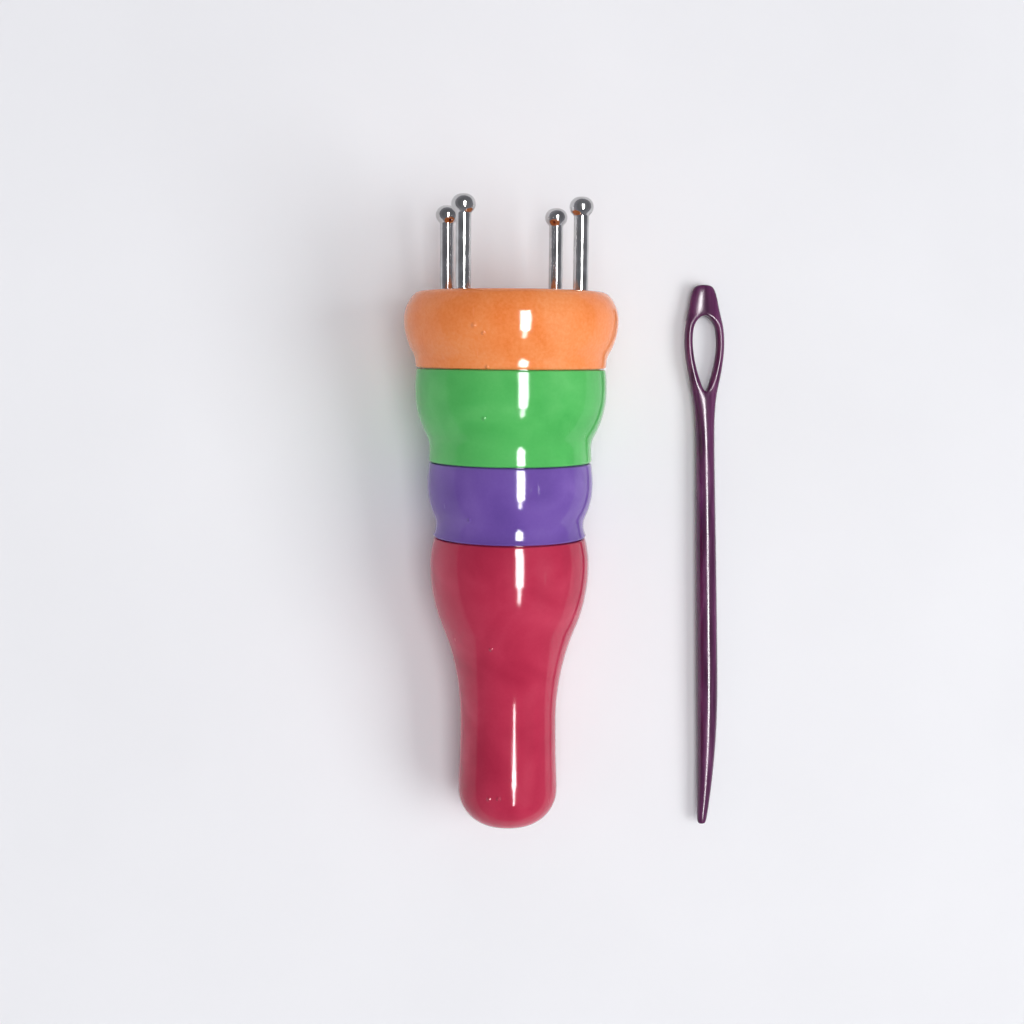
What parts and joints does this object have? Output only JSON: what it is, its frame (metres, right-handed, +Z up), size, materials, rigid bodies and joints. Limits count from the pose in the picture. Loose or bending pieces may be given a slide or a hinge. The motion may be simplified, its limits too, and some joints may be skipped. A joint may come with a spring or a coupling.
{
  "type": "i-cord knitting spool and needle",
  "caption": "Hand-held knitting spool with headed steel pegs round a cord channel, made of stacked coloured mouldings, with a large-eyed needle beside it.",
  "frame": {"origin": "on the surface the set lies on, below the middle of the set", "axes": "+Z up; +Y along the needle, towards the pegs and the eye; +X from the spool towards the needle. The spool lies on its head and its belly, so its axis leans 6.01 degrees up from +Y"},
  "size_m": [0.0622, 0.1134, 0.0367],
  "materials": {
    "handle_red": "moulded, satin gloss",
    "ring_purple": "moulded, satin gloss",
    "ring_green": "moulded, satin gloss",
    "head_orange": "moulded, satin gloss",
    "needle_plum": "moulded, satin gloss",
    "peg_steel": "bright nickel plate"
  },
  "bodies": {
    "spool": {"handle": "handle_red", "purple_ring": "ring_purple", "green_ring": "ring_green", "peg_head": "head_orange", "peg_1": "peg_steel", "peg_2": "peg_steel", "peg_3": "peg_steel", "peg_4": "peg_steel"},
    "needle": {"needle": "needle_plum"}
  },
  "joints": [
    {"name": "needle_draw", "type": "slide", "parent": "spool", "child": "needle", "axis": [0, -1, 0], "range_m": [0, 0.06]}
  ]
}
